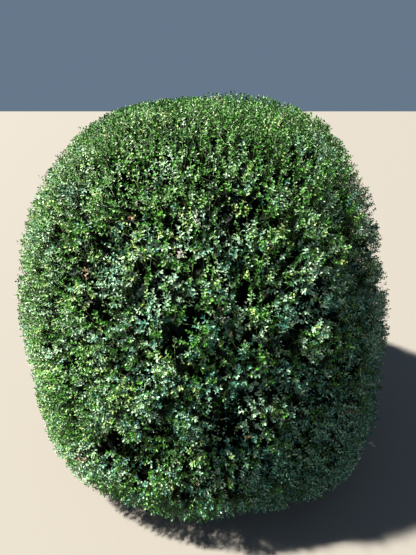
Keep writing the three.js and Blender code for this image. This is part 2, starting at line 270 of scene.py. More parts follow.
# Box leaves: small, leathery and evergreen, grown with a thick waxy cuticle. The wax gives each leaf a pale
# glint over a dark green, and the glint breaks up because no leaf is quite flat.
leafFinish = {
    "roughness": 0.50,
    "ior": 1.46,
    "waxRoughness": 0.31,
    "specular": 0.3,
    "dustySpecular": 0.1,  # on leaves without wax
    "cockle": 0.0045,  # metres, the size of the dents in a blade
    "cockleDepth": 0.001,
    "cockleDetail": 1.0,
    "cockleStrength": 0.35,
    # each family from its darkest tone to its lightest, with the weight of its coat of wax
    "families": [
        (0.14, {
            "deep": "#15390c",
            "dark": "#265615",
            "mid": "#3c7620",
            "light": "#729263",
            "fresh": "#869d56",
        }),
        # teal is painted shade, grey partly so, and pale is partly a real paler leaf, partly painted sheen
        (0.22, {"teal": "#1e5243", "grey": "#58866e", "pale": "#819e80"}),
        (0.05, {"dry": "#745c40"}),
        # near-black tones of the shade leaves, painted shade
        (0.00, {"shade": "#0b170a", "shadeGrey": "#0e211b"}),  # the oldest leaves, dusty and dull
    ],
}


def leafMaterial(name, hexColour, wax, finish):
    material, tree = newMaterial("waxy_leaf_" + name)
    place = addNode(tree, "ShaderNodeTexCoord", {})
    dents = addNode(tree, "ShaderNodeTexNoise", {
        "Scale": 1 / finish["cockle"],
        "Detail": finish["cockleDetail"],
    }, {"Vector": place.outputs["Object"]})
    bump = addNode(tree, "ShaderNodeBump", {
        "Strength": finish["cockleStrength"],
        "Distance": finish["cockleDepth"],
    }, {"Height": dents.outputs[0]})
    surface = addNode(tree, "ShaderNodeBsdfPrincipled", {
        "Base Color": linear(hexColour),
        "Roughness": finish["roughness"],
        "IOR": finish["ior"],
        "Specular IOR Level": finish["specular"] if wax > 0 else finish["dustySpecular"],
        "Coat Weight": wax,
        "Coat Roughness": finish["waxRoughness"],
    }, {"Normal": bump.outputs["Normal"]})
    addNode(tree, "ShaderNodeOutputMaterial", {}, {"Surface": surface.outputs[0]})
    return material


leafMaterials = [leafMaterial(name, hexColour, wax, leafFinish)
                 for wax, family in leafFinish["families"] for name, hexColour in family.items()]
leafTones = [name for _, family in leafFinish["families"] for name in family]
# the first and last tone number of the family that each tone belongs to
familySizes = [len(family) for _, family in leafFinish["families"]]
familyEnd = np.repeat(np.cumsum(familySizes) - 1, familySizes)
familyStart = familyEnd - np.repeat(familySizes, familySizes) + 1

# Box bark: pale grey-tan and corky, split into fine long plates, dull all over.
barkFinish = {
    "plates": "#75684f",
    "fissures": "#30281c",
    "roughness": 0.88,
    "plateSize": 0.006,  # metres across a plate
    "stretch": 0.3,  # plates are about three times as long as wide
    "plateDepth": 0.002,
    "plateDetail": 4.0,
    "plateBreakUp": 0.65,
    "plateStrength": 0.6,
}


def barkMaterial(name, finish):
    material, tree = newMaterial(name)
    place = addNode(tree, "ShaderNodeTexCoord", {})
    long = addNode(tree, "ShaderNodeMapping", {
        "Scale": (1, 1, finish["stretch"]),
    }, {"Vector": place.outputs["Object"]})
    plates = addNode(tree, "ShaderNodeTexNoise", {
        "Scale": 1 / finish["plateSize"],
        "Detail": finish["plateDetail"],
        "Roughness": finish["plateBreakUp"],
    }, {"Vector": long.outputs[0]})
    # sockets 6 and 7 of a colour mix are its two colours
    colour = addNode(tree, "ShaderNodeMix", {
        "data_type": "RGBA",
        6: linear(finish["fissures"]),
        7: linear(finish["plates"]),
    }, {0: plates.outputs[0]})
    bump = addNode(tree, "ShaderNodeBump", {
        "Strength": finish["plateStrength"],
        "Distance": finish["plateDepth"],
    }, {"Height": plates.outputs[0]})
    surface = addNode(tree, "ShaderNodeBsdfPrincipled", {
        "Roughness": finish["roughness"],
    }, {"Base Color": colour.outputs[2], "Normal": bump.outputs["Normal"]})
    addNode(tree, "ShaderNodeOutputMaterial", {}, {"Surface": surface.outputs[0]})
    return material


bark = barkMaterial("fissured_box_bark", barkFinish)

# Twigs: dull grey-brown where they are old, and green and a little shiny in their first year.
twigFinish = {"old": ("#4c3f2d", 0.8), "young": ("#446329", 0.5)}
# grains of about a millimetre, coarser than the real ones, so that they show
twigGrain = {"perMetre": 900.0, "detail": 2.0, "depth": 0.0005, "strength": 0.4}


def twigMaterial(name, hexColour, roughness):
    material, tree = newMaterial(name)
    place = addNode(tree, "ShaderNodeTexCoord", {})
    grain = addNode(tree, "ShaderNodeTexNoise", {
        "Scale": twigGrain["perMetre"],
        "Detail": twigGrain["detail"],
    }, {"Vector": place.outputs["Object"]})
    bump = addNode(tree, "ShaderNodeBump", {
        "Strength": twigGrain["strength"],
        "Distance": twigGrain["depth"],
    }, {"Height": grain.outputs[0]})
    surface = addNode(tree, "ShaderNodeBsdfPrincipled", {
        "Base Color": linear(hexColour),
        "Roughness": roughness,
    }, {"Normal": bump.outputs["Normal"]})
    addNode(tree, "ShaderNodeOutputMaterial", {}, {"Surface": surface.outputs[0]})
    return material


twigMaterials = [twigMaterial(age + "_twig", *look) for age, look in twigFinish.items()]
print("materials made")

# meshes


def addPiece(name, points, faceSets, materials, faceMaterial, smooth, nodes):
    # The whole plant leans: x + lean * z. faceSets is a list of index arrays, each with its own number of
    # corners a face.
    leaning = points.copy()
    leaning[:, 0] += crown["leanPerHeight"] * leaning[:, 2]
    sizes = np.concatenate([np.full(len(f), f.shape[1]) for f in faceSets])
    corners = np.concatenate([f.ravel() for f in faceSets])
    mesh = bpy.data.meshes.new(name)
    mesh.vertices.add(len(leaning))
    mesh.vertices.foreach_set("co", leaning.astype(np.float32).ravel())
    mesh.loops.add(len(corners))
    mesh.loops.foreach_set("vertex_index", corners.astype(np.int32))
    mesh.polygons.add(len(sizes))
    starts = np.concatenate([[0], np.cumsum(sizes)[:-1]])
    mesh.polygons.foreach_set("loop_start", starts.astype(np.int32))
    for material in materials:
        mesh.materials.append(material)
    mesh.polygons.foreach_set("material_index", faceMaterial.astype(np.int32))
    mesh.polygons.foreach_set("use_smooth", np.full(len(sizes), smooth))
    mesh.update(calc_edges=True)
    piece = bpy.data.objects.new(name, mesh)
    bpy.context.scene.collection.objects.link(piece)
    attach(piece, "root")
    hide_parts(*nodes)
    triangles = int((sizes - 2).sum())
    print(f"  {name}: {triangles} triangles")
    return triangles


steep = 0.8  # a limb that rises by more than this share of its length counts as upright


def tubes(paths, radii, sides):
    # Limbs: path + radius * (cos a * across + sin a * over), with across and over square to the path, and a
    # flat face at each end. paths is n x rings x 3 and radii n x rings (x sides).
    count, rings, _ = paths.shape
    along = unit(np.gradient(paths, axis=1))
    overall = unit(paths[:, -1] - paths[:, 0])
    # upright limbs are squared from the x axis, and the others from the upright one
    helper = np.where(np.abs(overall[:, 2:]) < steep, up, np.array([1.0, 0, 0]))[:, None]
    across = unit(np.cross(along, helper))
    over = np.cross(along, across)
    turn = np.linspace(0, 2 * np.pi, sides, endpoint=False)
    around = np.cos(turn)[:, None] * across[:, :, None] + np.sin(turn)[:, None] * over[:, :, None]
    radii = radii[..., None] if radii.ndim == 2 else radii
    points = paths[:, :, None] + radii[..., None] * around
    start = np.arange(count)[:, None, None] * rings * sides
    ring = start + np.arange(rings - 1)[:, None] * sides
    side, following = np.arange(sides), (np.arange(sides) + 1) % sides
    walls = np.stack([ring + side, ring + following, ring + sides + following, ring + sides + side], -1)
    first = start[:, 0] + side[::-1]
    last = start[:, 0] + (rings - 1) * sides + side
    return points.reshape(-1, 3), walls.reshape(-1, 4), np.concatenate([first, last])


def bezier(points, steps):
    # (1-t)^3 A + 3 (1-t)^2 t B + 3 (1-t) t^2 C + t^3 D, for arrays of the four points
    t = np.linspace(0, 1, steps)[:, None]
    a, b, c, d = (p[:, None] for p in points)
    return (1 - t) ** 3 * a + 3 * (1 - t) ** 2 * t * b + 3 * (1 - t) * t ** 2 * c + t ** 3 * d


def taper(count, steps, rootRadius, tipRadius):
    # radii that fall evenly from root to tip, for each limb
    return np.broadcast_to(np.linspace(rootRadius, tipRadius, steps), (count, steps)).copy()


# stem, leader and boughs

stem = {
    "height": 0.200,
    "topRadius": 0.056,
    "footRadius": 0.066,
    "flare": 0.042,
    "flarePower": 4,
    "lobes": 5,
    "lobeDepth": 0.1,
    "forkHeight": 0.140,
    "sides": 60,
    "rings": 40,
}
stub = {"length": 0.128, "rise": 58, "rootShare": 0.15, "swell": 1.12, "rings": 24}
bough = {
    "rootRadius": 0.025,
    "tipRadius": 0.014,
    "radiusWave": 0.14,
    "radiusStep": 2.4,
    "bend": 0.5,
    "sides": 20,
    "rings": 60,
}
boughTip = {"share": 0.56, "polar": 84, "polarWave": 5, "polarStep": 1.7}
leader = {"rootRadius": 0.030, "tipRadius": 0.016, "stubLength": 0.040, "tipX": 0.012, "tipY": -0.008}
relief = {
    "across": 0.007,  # metres between fissures
    "along": 0.030,  # metres along a fissure
    "depth": 0.0016,
    "shift": 8,  # cells from the noise's corner to the middle of a limb
    "limbShift": 3.7,  # cells from each limb to the next
    "coarseScale": 0.37,
    "coarseShift": 5,
    "unevenness": 0.08,  # share of the radius
}


def barkRelief(paths, radii, sides):
    # radius + unevenness * radius * (coarse noise - 0.5) - depth * (1 - |2 noise - 1|)^3, with the noise
    # stretched along the limb
    turn = np.linspace(0, 2 * np.pi, sides, endpoint=False)
    travelled = np.cumsum(np.linalg.norm(np.diff(paths, axis=1, prepend=paths[:, :1]), axis=-1), axis=1)
    wide = radii.mean(axis=1)[:, None, None] / relief["across"]
    own = relief["limbShift"] * np.arange(len(paths))[:, None, None]
    places = np.stack(np.broadcast_arrays(
        relief["shift"] + np.cos(turn) * wide,
        relief["shift"] + np.sin(turn) * wide,
        travelled[..., None] / relief["along"] + own), -1)
    ridge = 1 - np.abs(2 * smoothNoise(places, 1.0) - 1)
    coarse = smoothNoise(places * relief["coarseScale"] + relief["coarseShift"], 1.0) - 0.5
    return radii[..., None] - relief["depth"] * ridge ** 3 + relief["unevenness"] * radii[..., None] * coarse


def boughLine(number):
    # the solids' rule: from its stub, first along the stub's heading, then over to its tip inside the crown
    bearing = crown["firstCleft"] + sectorAngle * (number - 0.5)
    heading = direction(bearing, 90 - stub["rise"])
    root = np.array([0, 0, stem["forkHeight"]]) + heading * stub["length"]
    polar = boughTip["polar"] + boughTip["polarWave"] * np.sin(boughTip["polarStep"] * number)
    tip = hub + direction(bearing, polar) * crownReach(bearing, polar) * boughTip["share"]
    radius = bough["rootRadius"] * (1 + bough["radiusWave"] * np.cos(bough["radiusStep"] * number))
    return root, heading, tip, radius


def leaderLine():
    # straight up from its stub, then over to a tip that lies a share of the way up the crown
    root = np.array([0, 0, stem["height"] + leader["stubLength"]])
    reach = crownReach(np.array(0.0), np.array(0.0))
    tip = np.array([leader["tipX"], leader["tipY"], crown["hubHeight"] + reach * boughTip["share"]])
    return root, up, tip, leader["rootRadius"]


def limbPath(root, heading, tip, steps):
    # a quadratic curve, written as a cubic, whose middle control point lies along the heading
    control = root + heading * np.linalg.norm(tip - root) * bough["bend"]
    fromRoot = root + (control - root) * 2 / 3
    fromTip = tip + (control - tip) * 2 / 3
    return bezier([p[None] for p in (root, fromRoot, fromTip, tip)], steps)


limbLines = [boughLine(number) for number in range(len(sectors))] + [leaderLine()]
limbNames = ["bough_" + side for side in sectors] + ["leader"]
limbTips = [bough["tipRadius"]] * len(sectors) + [leader["tipRadius"]]
triangleCount = 0

for name, (root, heading, tip, radius), tipRadius in zip(limbNames, limbLines, limbTips):
    path = limbPath(root, heading, tip, bough["rings"])
    radii = barkRelief(path, taper(1, bough["rings"], radius, tipRadius), bough["sides"])
    points, walls, ends = tubes(path, radii, bough["sides"])
    triangleCount += addPiece(name + "_bark", points, [walls, ends], [bark],
                              np.zeros(len(walls) + len(ends)), True, [name])


def stemPiece():
    # r = top + (foot - top) * depth + flare * depth^p with the bark's relief,
    # and all that times 1 + lobe * depth * cos(lobes * a)
    heights = np.linspace(0, stem["height"], stem["rings"])
    depth = 1 - heights / stem["height"]
    radii = stem["topRadius"] + (stem["footRadius"] - stem["topRadius"]) * depth
    radii = radii + stem["flare"] * depth ** stem["flarePower"]
    turn = np.linspace(0, 2 * np.pi, stem["sides"], endpoint=False)
    path = np.stack([0 * heights, 0 * heights, heights], -1)[None]
    rough = barkRelief(path, radii[None], stem["sides"])
    rough = rough * (1 + stem["lobeDepth"] * depth[:, None] * np.cos(stem["lobes"] * turn))
    parts = [tubes(path, rough, stem["sides"])]
    fork = np.array([0, 0, stem["forkHeight"]])
    for root, heading, _, radius in limbLines:
        foot = fork + (root - fork) * stub["rootShare"]
        line = (foot + np.linspace(0, 1, stub["rings"])[:, None] * (root - foot))[None]
        thickness = taper(1, stub["rings"], radius * stub["swell"], radius)
        parts.append(tubes(line, barkRelief(line, thickness, bough["sides"]), bough["sides"]))
    return parts


def joined(parts):
    # several sets of points and faces as one, with the face numbers moved on
    points, faceSets, offset = [], [], 0
    for part in parts:
        points.append(part[0])
        faceSets.extend(faces + offset for faces in part[1:])
        offset += len(part[0])
    return np.concatenate(points), faceSets


points, faceSets = joined(stemPiece())
triangleCount += addPiece("main_stem_bark", points, faceSets, [bark],
                          np.zeros(sum(map(len, faceSets))), True, ["main_stem"])
print("stem and boughs made")

# branches, twigs and leaves of each mass

mass = {
    "goldenStep": 0.618034,
    "goldenAngle": 137.508,
    "scatter": 0.1,  # share of a side mass's width
    "arms": 10,  # from the mass's own stem
    "armShare": 0.76,  # of the way from the hub to the surface
    "branchesPerSquareMetre": 38,
    "branchShare": 0.86,
    "upturn": 0.3,  # how far arms and branches turn up at their ends
    "spraysPerSquareMetre": 250,
    "lowestPoint": 0.002,  # metres, nothing of the foliage lies lower
}
# each kind of limb inside the foliage: radii in metres, sides round it and rings along it, and for the neck
# also the rings along its bough, which give its heading
limbShapes = {
    "neck": {"length": 0.170, "tipRadius": 0.009, "sides": 12, "rings": 6, "boughRings": 12},
    "arms": {"rootRadius": 0.0075, "tipRadius": 0.0045, "sides": 8, "rings": 14},
    "branches": {"rootRadius": 0.0042, "tipRadius": 0.0024, "sides": 5, "rings": 9},
    "stems": {"rootRadius": 0.0022, "tipRadius": 0.0014, "sides": 3, "rings": 4},
    "innerTwigs": {"rootRadius": 0.0014},
    "shoots": {"rootRadius": 0.0012},
}
# A new limb leaves a parent's point that lies this much further in, in metres, and each metre that a point
# lies too far out counts as so many metres of distance.
growth = {"inward": 0.04, "outwardCost": 3}
# Each branch carries a head of foliage. Heads part along narrow clefts, stand at their own heights and lean
# their own way, hardly at all on the clipped top and fully on the sides.
head = {
    "smoothTo": 24,  # polar angle up to which the top stays even
    "roughFrom": 56,
    "topShare": 0.18,
    "roughestSide": 60,
    "sideChange": 0.30,
    "footShare": 0.26,  # the foot is smoother than the side above it
    "calmFrom": 66,
    "calmTo": 98,
    "cleftDepth": 0.048,
    "cleftWidth": 0.026,
    "heightSpread": 0.026,
    "lean": 0.38,
    "leanPerDeviation": 1.7,  # half of an even range over its standard deviation
    "standOut": 0.026,  # metres, the highest heads stand this far out of the clipped shape
    "ruffle": 0.022,
    "ruffleCell": 0.055,
    "ruffleShift": 3,  # metres, so that the ruffle has noise of its own
}
# bearing, height, spread and rise of the gaps between shoots, on the side that the picture shows
gaps = [
    (49.8, 1.150, 0.034, -0.070), (33.8, 1.040, 0.030, -0.060), (33.8, 0.920, 0.028, -0.055),
    (53.5, 0.900, 0.034, -0.060), (25.5, 0.990, 0.028, -0.060), (29.5, 0.940, 0.022, -0.050),
    (18.2, 0.880, 0.036, -0.075), (21.5, 0.870, 0.024, -0.060), (9.2, 0.860, 0.026, -0.055),
    (8.0, 0.930, 0.030, -0.065), (9.8, 1.065, 0.028, -0.060), (18.0, 1.140, 0.032, -0.065),
    (27.0, 1.180, 0.026, -0.060), (7.6, 1.200, 0.024, -0.045), (3.2, 1.170, 0.026, -0.045),
    (0.2, 1.095, 0.028, -0.050), (-7.0, 0.970, 0.028, -0.065), (-13.6, 1.035, 0.034, -0.065),
    (-5.8, 1.270, 0.026, -0.055), (35.2, 1.270, 0.024, -0.050), (8.8, 1.300, 0.022, -0.040),
    (-8.8, 0.680, 0.034, -0.070), (-9.0, 0.570, 0.040, -0.080), (-21.5, 0.790, 0.030, -0.060),
    (-24.5, 0.740, 0.026, -0.055), (-36.0, 0.510, 0.028, -0.055), (-33.0, 0.650, 0.026, -0.050),
    (-9.5, 0.770, 0.024, -0.050), (-19.0, 0.860, 0.024, -0.045), (-27.5, 1.190, 0.024, -0.050),
    (-0.8, 0.850, 0.022, -0.045), (3.0, 0.410, 0.028, -0.055), (6.2, 0.300, 0.028, -0.050),
    (-23.5, 0.440, 0.034, -0.060),
]
# and round the rest of the crown, dealt by lot
otherGaps = {
    "count": 110,
    "beyond": 60,  # degrees to either side of the front
    "level": (-0.3, 0.8),
    "levelHeight": 0.9,  # metres above the hub at level 1
    "spread": (0.022, 0.038),
    "rise": (-0.075, -0.045),
}
spray = {
    "length": 0.105,
    "lengthSpread": 0.03,
    "upwardTurn": 0.7,
    "upwardLeast": 0.4,  # share of that turn which every spray has
    "wander": 0.4,
    "shoots": 10,
    "fan": 42,  # degrees from the spray's own line to its outermost shoots
    "fanRange": (0.8, 1.2),
    "shootUpturn": 0.12,
    "shootsWithin": 0.45,  # share of the spray's length along which its shoots start
    "shootLimit": (0.030, 0.115),
    "firstCut": 0.080,  # metres, the length at which the search for the cut starts
    "cutRounds": 4,
    "cutSlope": 0.4,  # shoots that run flatter than this to the surface are cut as if they had this slope
    "proud": 0.006,  # metres by which the longest clipped tips stand out of the shape
    "unevenTop": 0.009,  # metres by which the other tips may end short of those
    "unevenSide": 0.018,
    "unevenPower": 1.6,  # the higher, the more tips end near the longest
    "toneShift": 0.35,  # share of shoots with a tone of their own
    "clearance": 0.010,  # metres between the tips and the ground
    "clearanceScatter": 0.01,
    "clearanceMargin": 0.001,
    "groundRun": 0.050,  # metres over which a low shoot may come down to it
    "dryShare": 0.003,  # shoots that have died
    "strayShare": 0.012,  # shoots that the shears missed
    "strayLength": 0.028,
}
leaf = {
    "pairs": 5,
    "plainFrom": 2,  # from this pair inwards, counted from 0 at the tip, the outline is plainer
    "internode": 0.0086,
    "internodeRange": (0.85, 1.15),
    "tipInset": 0.001,  # metres from the tip of a shoot to its last pair
    "length": 0.0126,
    "lengthSpread": 0.36,
    "youngPairs": 1.2,  # pairs from the tip over which a leaf's youth falls to about a third
    "tipShare": 0.78,  # size of the youngest leaves
    "tipTilt": 42,
    "tilt": 72,
    "tiltWander": 0.24,
    "turnWander": 0.25,
    "faceUp": 0.35,  # how far the blades turn to the sky
    "flutter": 0.42,  # how far each blade is turned at random
    "bareFoot": 0.15,  # share of a shoot, from its foot, that has no leaves
    "bareShare": 0.8,  # leaves missing in a hollow
    "bareDepth": 0.07,  # metres, the depth of hollow that reaches that share
    "lowest": 0.008,  # metres above the ground
    "toneStep": 0.65,  # share of leaves that may be a tone lighter or darker than their shoot
}
# shade leaves: larger, darker and plainer, along the older wood; their near-black tones are painted shade
olderLeaf = {"faceWander": 0.45, "smallest": 0.75, "sizeRange": 0.5, "lowest": 0.012}
olderLeaves = {
    "stems": {"perLimb": 16, "length": 0.034, "from": 0.10, "to": 0.9, "outward": 0.8},
    "branches": {"perLimb": 30, "length": 0.046, "from": 0.15, "to": 1.0, "outward": 0.9},
    "arms": {"perLimb": 130, "length": 0.060, "from": 0.05, "to": 1.0, "outward": 0.6},
    "innerTwigs": {"perLimb": 6, "length": 0.054, "from": 0.1, "to": 1.0, "outward": 1.2},
}
# twigs from the sides of the branches and the arms, well inside
innerTwig = {
    "perBranch": 16,
    "perArm": 38,
    "from": 0.1,
    "to": 0.9,
    "length": 0.095,
    "lengthRange": (0.8, 1.2),
    "outward": 0.3,
}
# the shade leaves' tones are near-black painted shade
shadeTones = {"shade": 0.8, "shadeGrey": 0.2}  # share of each among the shade leaves
# branches of each side mass that bend down to the ground inside the skirt, so that no light comes under it
lowBranch = {"count": 12, "share": (0.50, 0.84), "height": (0.015, 0.13), "droop": 0.3}
# what the tones, with their painted light and shade, go by: how sunny a side is, how low a place is
# and how deep a hollow
paintedLightShade = {
    "sunnyMiddle": 0.5,
    "sunnySwing": 0.9,
    "shadeBelow": 1.1,  # metres
    "fullHollow": 0.06,  # metres deep
}
# how likely each tone is on the top, and how much more on the sides, on the sunny side, low in the shade and
# in the hollows. These weights paint light and shade into the leaves' colour: warmer greens and fewer grey
# and pale leaves where the sun falls, teal and grey painted shade in place of light and pale leaves low in
# the shade, and deep green painted shade in the hollows, where the few dry leaves are real. The light and
# pale tones of the sides are partly a real paler green, partly painted sheen.
toneWeights = {
    "deep": (0.14, 0.00, 0.02, 0, 0.1),
    "dark": (0.36, -0.24, 0.06, -0.04, 0),
    "mid": (0.42, -0.32, 0.16, -0.20, 0),
    "light": (0.07, 0.13, -0.02, -0.34, 0),
    "fresh": (0, 0.006, 0.014, -0.03, 0),
    "teal": (0.02, 0.04, -0.03, 0.95, 0),
    "grey": (0.01, 0.24, -0.18, 0.26, 0),
    "pale": (0, 0.34, -0.18, -0.52, 0),
    "dry": (0, 0, 0, 0, 0.004),
}
# a leaf's outline, x, y and z in shares of its length: a blunt oval cupped along its midrib, and a plain one
leafOutline = np.array([
    (0, 0, 0),
    (-0.23, 0.30, 0.05),
    (-0.25, 0.72, 0.06),
    (0, 1, -0.05),
    (0.25, 0.72, 0.06),
    (0.23, 0.30, 0.05),
])
leafFaces = np.array([(0, 3, 2, 1), (0, 5, 4, 3)])
plainOutline = np.array([(0, 0, 0), (-0.27, 0.55, 0.07), (0, 1, -0.05), (0.27, 0.55, 0.07)])
plainFaces = np.array([(0, 2, 1), (0, 3, 2)])


def blades(feet, headings, faces, lengths, outline, outlineFaces):
    # each point: foot + length * (x * side + y * heading + z * face), with side = heading x face
    side = unit(np.cross(headings, faces))
    face = np.cross(side, headings)
    basis = np.stack([side, headings, face], -2)
    points = feet[:, None] + lengths[:, None, None] * np.einsum("kc,ncd->nkd", outline, basis)
    numbers = np.arange(len(feet))[:, None, None] * len(outline) + outlineFaces
    return points.reshape(-1, 3), numbers.reshape(-1, outlineFaces.shape[1])


def spikes(feet, ends, radius):
    # three-sided pyramids: a small triangle square to the line at each foot, and a point at its end
    along = unit(ends - feet)
    across = unit(np.cross(along, up + 0.01))  # up is turned a little, for lines that stand upright
    over = np.cross(along, across)
    turn = np.radians([0, 120, 240])[:, None]
    ring = feet[:, None] + radius * (np.cos(turn) * across[:, None] + np.sin(turn) * over[:, None])
    points = np.concatenate([ring, ends[:, None]], axis=1)
    corners = np.array([(0, 1, 3), (1, 2, 3), (2, 0, 3), (2, 1, 0)])
    numbers = np.arange(len(feet))[:, None, None] * 4 + corners
    return points.reshape(-1, 3), numbers.reshape(-1, 3)


def placesOnMass(number, density):
    # Side masses: golden steps across, and steps of equal area down. The cap: the seeds of a flower head.
    if number == len(sectors):
        area = np.interp(crown["capPolar"], tablePolars, tableArea)
        count = int(area * density)
        bearing = np.arange(count) * mass["goldenAngle"]
        share = (np.arange(count) + random.random(count)) / count
        rimArea = np.interp(rimPolar(bearing), tablePolars, tableArea)
        return bearing, np.interp(share * rimArea, tableArea, tablePolars)
    area = (tableArea[-1] - np.interp(crown["capPolar"], tablePolars, tableArea)) / len(sectors)
    count = int(area * density)
    across = (np.arange(count) * mass["goldenStep"] + mass["scatter"] * random.random(count)) % 1
    down = (np.arange(count) + random.random(count)) / count
    middle = crown["firstCleft"] + sectorAngle * (number - 0.5)
    rimArea = np.interp(rimPolar(middle), tablePolars, tableArea)
    polar = np.interp(rimArea + down * (tableArea[-1] - rimArea), tableArea, tablePolars)
    share = (polar - rimPolar(middle)) / (footPolar - rimPolar(middle))
    left, right = cleftBearing(number - 1, share), cleftBearing(number, share)
    return left + (right - left) * across, polar


def roughness(bearing, polar):
    # from the top's small share up to 1 + change * cos(b - roughest side) on the sides, by t * t * (3 - 2 t),
    # and down again to the foot's share of that
    t = np.clip((polar - head["smoothTo"]) / (head["roughFrom"] - head["smoothTo"]), 0, 1)
    low = np.clip((polar - head["calmFrom"]) / (head["calmTo"] - head["calmFrom"]), 0, 1)
    side = 1 + head["sideChange"] * np.cos(np.radians(bearing - head["roughestSide"]))
    side = side * (1 - (1 - head["footShare"]) * low)
    return head["topShare"] + (side - head["topShare"]) * t * t * (3 - 2 * t)


def makeHeads():
    # one for each branch of every mass, with its place on the clipped shape, its depth under it and its lean
    places = [placesOnMass(number, mass["branchesPerSquareMetre"]) for number in range(massCount)]
    owner = np.repeat(np.arange(len(places)), [len(bearing) for bearing, _ in places])
    bearing, polar = np.concatenate(places, axis=1)
    centre = hub + direction(bearing, polar) * crownReach(bearing, polar)[:, None]
    lean = random.normal(0, head["lean"] / head["leanPerDeviation"], centre.shape)
    depth = head["heightSpread"] * random.random(len(centre))
    return {
        "owner": owner,
        "bearing": bearing,
        "polar": polar,
        "centre": centre,
        "depth": depth,
        "lean": lean,
    }


heads = makeHeads()
gapBearings = random.uniform(otherGaps["beyond"], 360 - otherGaps["beyond"], otherGaps["count"])
gapLevels = random.uniform(*otherGaps["level"], otherGaps["count"])
gapHeights = crown["hubHeight"] + gapLevels * otherGaps["levelHeight"]
allGaps = gaps + [
    (bearing, height, random.uniform(*otherGaps["spread"]), random.uniform(*otherGaps["rise"]))
    for bearing, height in zip(gapBearings, gapHeights)]


def foliageDepth(points, bearing, polar):
    # how far the foliage ends inside the clipped shape:
    # hollows + gaps + roughness * (cleft + the head's own depth + ruffle - standOut)
    plain = np.interp(polar, tablePolars, reachTable)
    height = crown["hubHeight"] + plain * np.cos(np.radians(polar))
    cutIn = -bells(hollows, bearing, height) - bells(allGaps, bearing, height)
    apart = np.linalg.norm(points[:, None] - heads["centre"][None], axis=-1)
    nearest = np.argpartition(apart, 1, axis=1)[:, :2]
    distances = np.sort(np.take_along_axis(apart, nearest, 1), axis=1)
    own = np.argmin(apart, axis=1)
    cleft = head["cleftDepth"] * np.exp(-((distances[:, 1] - distances[:, 0]) / head["cleftWidth"]) ** 2)
    ruffle = head["ruffle"] * smoothNoise(points + head["ruffleShift"], head["ruffleCell"])
    return cutIn + roughness(bearing, polar) * (cleft + heads["depth"][own] + ruffle - head["standOut"]), own


def growFrom(parents, targets, endHeadings, steps):
    # Each new limb leaves the nearest point of its parents that lies further in, along the parent, and
    # arrives along its own end heading: a cubic curve with handles of a third of the distance.
    tangents = unit(np.gradient(parents, axis=1)).reshape(-1, 3)
    points = parents.reshape(-1, 3)
    apart = np.linalg.norm(targets[:, None] - points[None], axis=-1)
    pointsOut, targetsOut = np.linalg.norm(points - hub, axis=-1), np.linalg.norm(targets - hub, axis=-1)
    tooFar = np.maximum(pointsOut[None] - targetsOut[:, None] + growth["inward"], 0)
    chosen = np.argmin(apart + growth["outwardCost"] * tooFar, axis=1)
    root, distance = points[chosen], np.take_along_axis(apart, chosen[:, None], 1)
    leaving, arriving = root + tangents[chosen] * distance / 3, targets - endHeadings * distance / 3
    return bezier([root, leaving, arriving, targets], steps)


def dealTones(bearing, polar):
    # A tone by lot for each place, by the weights
    # base + side * a + sunny * b + paintedLowShade * c + hollow * d,
    # with sunny = side * (middle - swing * sin bearing)
    # and paintedLowShade = (1 - height / shadeBelow) * (1 - sunny).
    # The sunny, low-shade and hollow terms paint light and shade into the tones.
    height = crown["hubHeight"] + np.interp(polar, tablePolars, tableHeight)
    side = np.clip((polar - head["smoothTo"]) / (head["roughFrom"] - head["smoothTo"]), 0, 1)
    turned = paintedLightShade["sunnyMiddle"] - paintedLightShade["sunnySwing"] * np.sin(np.radians(bearing))
    sunny = side * np.clip(turned, 0, 1)
    paintedLowShade = np.clip(1 - height / paintedLightShade["shadeBelow"], 0, 1) * (1 - sunny)
    hollow = np.clip(-bells(hollows, bearing, height) / paintedLightShade["fullHollow"], 0, 1)
    shares = np.stack([np.ones_like(side), side, sunny, paintedLowShade, hollow], -1)
    weights = shares @ np.array([toneWeights.get(tone, (0, 0, 0, 0, 0)) for tone in leafTones]).T
    limits = np.cumsum(np.maximum(weights, 0), axis=1)
    return (random.random(len(bearing))[:, None] * limits[:, -1:] > limits[:, :-1]).sum(axis=1)


def placesAlong(limbs, each, start, end):
    # random places along the limbs, as points: a (1 - share) + b share on the segment that each falls in
    t = random.uniform(start, end, (len(limbs), each)) * (limbs.shape[1] - 1)
    segment = np.minimum(t.astype(int), limbs.shape[1] - 2)
    share = (t - segment)[..., None]
    row = np.arange(len(limbs))[:, None]
    return (limbs[row, segment] * (1 - share) + limbs[row, segment + 1] * share).reshape(-1, 3)


def sideTwigs(limbs, each):
    # straight lines out of the limbs, each with the heading: random + outward * a, and a length of its own
    feet = placesAlong(limbs, each, innerTwig["from"], innerTwig["to"])
    heading = unit(unit(random.normal(size=feet.shape)) + innerTwig["outward"] * unit(feet - hub))
    length = innerTwig["length"] * random.uniform(*innerTwig["lengthRange"], (len(feet), 1))
    return np.stack([feet, feet + heading * length], axis=1)


def leavesAlong(limbs, settings):
    # feet at random places along the limbs, faces: outward * a + wander * random, headings square to those
    feet = placesAlong(limbs, settings["perLimb"], settings["from"], settings["to"])
    faces = unit(feet - hub) * settings["outward"] + olderLeaf["faceWander"] * random.normal(size=feet.shape)
    lines = unit(np.cross(faces, random.normal(size=feet.shape)))
    sizes = olderLeaf["smallest"] + olderLeaf["sizeRange"] * random.random(len(feet))
    return feet, lines, faces, settings["length"] * sizes


def makeLowBranches(number, arms):
    # they end near the ground at random shares of the outline's radius, with the heading outward - droop * up
    count = lowBranch["count"]
    outward = direction(crown["firstCleft"] + sectorAngle * (number - 1 + random.random(count)), 90)
    height = random.uniform(*lowBranch["height"], (count, 1))
    ends = outward * outlineRadius(height) * random.uniform(*lowBranch["share"], (count, 1)) + up * height
    return growFrom(arms, ends, unit(outward - lowBranch["droop"] * up), limbShapes["branches"]["rings"])


